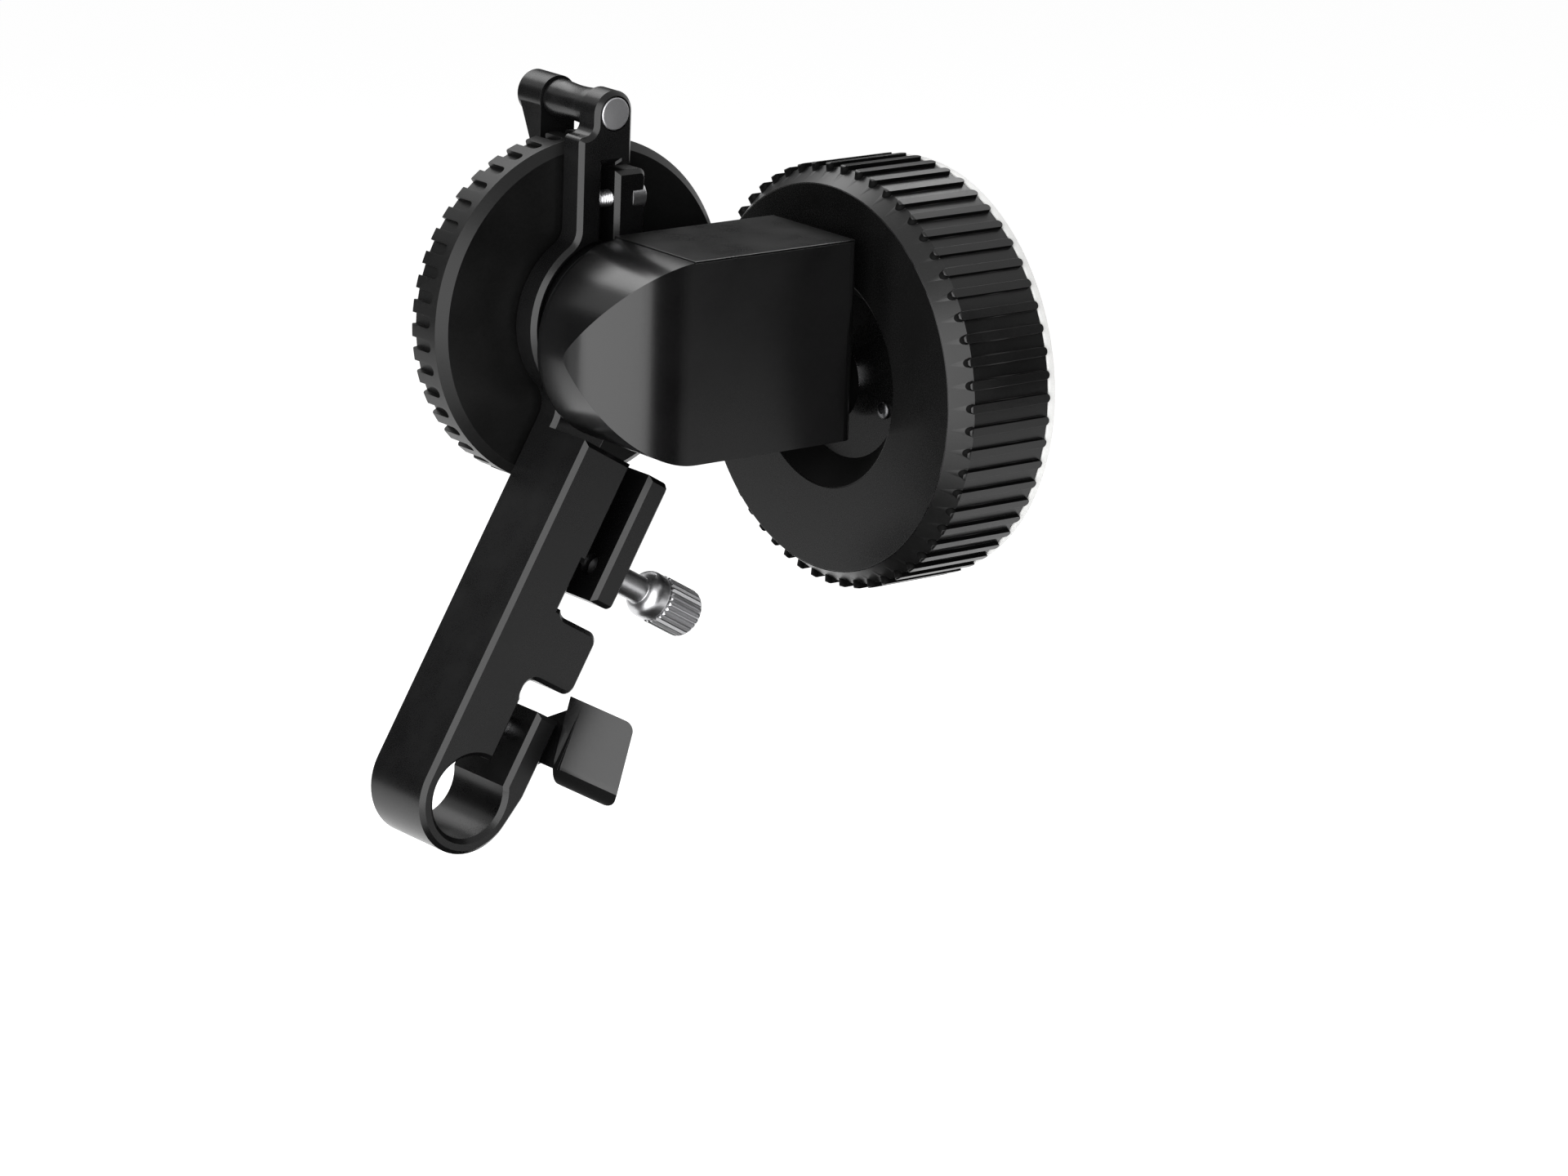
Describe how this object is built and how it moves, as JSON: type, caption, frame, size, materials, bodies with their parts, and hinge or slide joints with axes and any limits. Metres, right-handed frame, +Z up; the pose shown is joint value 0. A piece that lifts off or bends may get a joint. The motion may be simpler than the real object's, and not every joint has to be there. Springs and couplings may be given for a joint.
{
  "type": "follow focus unit",
  "caption": "Rod-mounted follow focus: a large hand wheel turns a toothed drive wheel through a swivelling gearbox on a clamp arm.",
  "frame": {"origin": "on the rod's axis, at the middle of the clamp arm's depth", "axes": "+Y along the rod and the drive wheel's axis, away from the operator's side; +X along the hand wheel's axis, outwards; +Z up"},
  "size_m": [0.1043, 0.0765, 0.13],
  "materials": {
    "black_anodised": "satin",
    "black_nylon": "satin",
    "plain_aluminium": "satin",
    "nickel": "satin",
    "steel": "satin",
    "dark_steel": "satin",
    "brass": "satin",
    "grip_rubber": "matte",
    "marking_white": "matte"
  },
  "bodies": {
    "bracket_frame": {"bracket": "black_anodised", "bridge_tube": "black_anodised", "bridge_pin": "steel", "rear_support": "black_anodised", "rear_bush": "brass", "lever_washer": "steel"},
    "gearbox": {"gearbox_housing": "black_anodised", "gearbox_neck": "black_anodised", "knob_boss": "black_anodised", "top_cover": "black_anodised", "bearing_plate": "plain_aluminium", "lay_bearing_left": "steel", "lay_bearing_right": "steel", "knob_bearing_inner": "steel", "knob_bearing_outer": "steel", "wheel_bearing": "steel"},
    "hand_wheel": {"knob_body": "black_anodised", "knob_hub": "black_anodised", "knob_grip": "grip_rubber", "marking_disc": "marking_white", "hub_screws": "dark_steel", "knob_shaft": "steel", "knob_gear": "brass", "knob_spacer": "steel", "knob_screw": "dark_steel"},
    "lay_train": {"lay_shaft": "steel", "lay_bevel": "steel", "lay_gear": "brass"},
    "drive": {"drive_wheel": "black_nylon", "wheel_shaft": "steel", "wheel_bevel": "steel", "wheel_clip": "dark_steel"},
    "ring_screw": {"ring_clamp_screw": "steel"},
    "thumbscrew": {"arm_thumbscrew": "nickel"},
    "clamp_lever": {"rod_clamp_lever": "black_anodised", "rod_clamp_stud": "steel"}
  },
  "joints": [
    {"name": "gearbox_swivel", "type": "hinge", "parent": "bracket_frame", "child": "gearbox", "pos_m": [0.0347, 0.0041, 0.0791], "axis": [0, -1, 0], "range_deg": [0, 60]},
    {"name": "hand_wheel_turn", "type": "hinge", "parent": "gearbox", "child": "hand_wheel", "pos_m": [0.075, -0.0118, 0.0671], "axis": [1, 0, 0], "continuous": true},
    {"name": "lay_shaft_turn", "type": "hinge", "parent": "gearbox", "child": "lay_train", "pos_m": [0.05, -0.0118, 0.0791], "axis": [1, 0, 0], "continuous": true},
    {"name": "drive_wheel_turn", "type": "hinge", "parent": "gearbox", "child": "drive", "pos_m": [0.0347, 0.01, 0.0791], "axis": [0, 1, 0], "continuous": true},
    {"name": "ring_screw_turn", "type": "hinge", "parent": "bracket_frame", "child": "ring_screw", "pos_m": [0.04, 0.00525, 0.1003], "axis": [1, 0, 0], "range_deg": [0, 180]},
    {"name": "thumbscrew_turn", "type": "hinge", "parent": "bracket_frame", "child": "thumbscrew", "pos_m": [0.04042, -0.0025, 0.03001], "axis": [0.866, 0, -0.5], "range_deg": [0, 360]},
    {"name": "clamp_lever_turn", "type": "hinge", "parent": "bracket_frame", "child": "clamp_lever", "pos_m": [0.01759, 0, 0.00647], "axis": [0.866, 0, -0.5], "range_deg": [0, 110]}
  ],
  "couplings": [
    {"joint": "lay_shaft_turn", "follows": "hand_wheel_turn", "ratio": -0.66667},
    {"joint": "drive_wheel_turn", "follows": "hand_wheel_turn", "ratio": 0.66667}
  ]
}
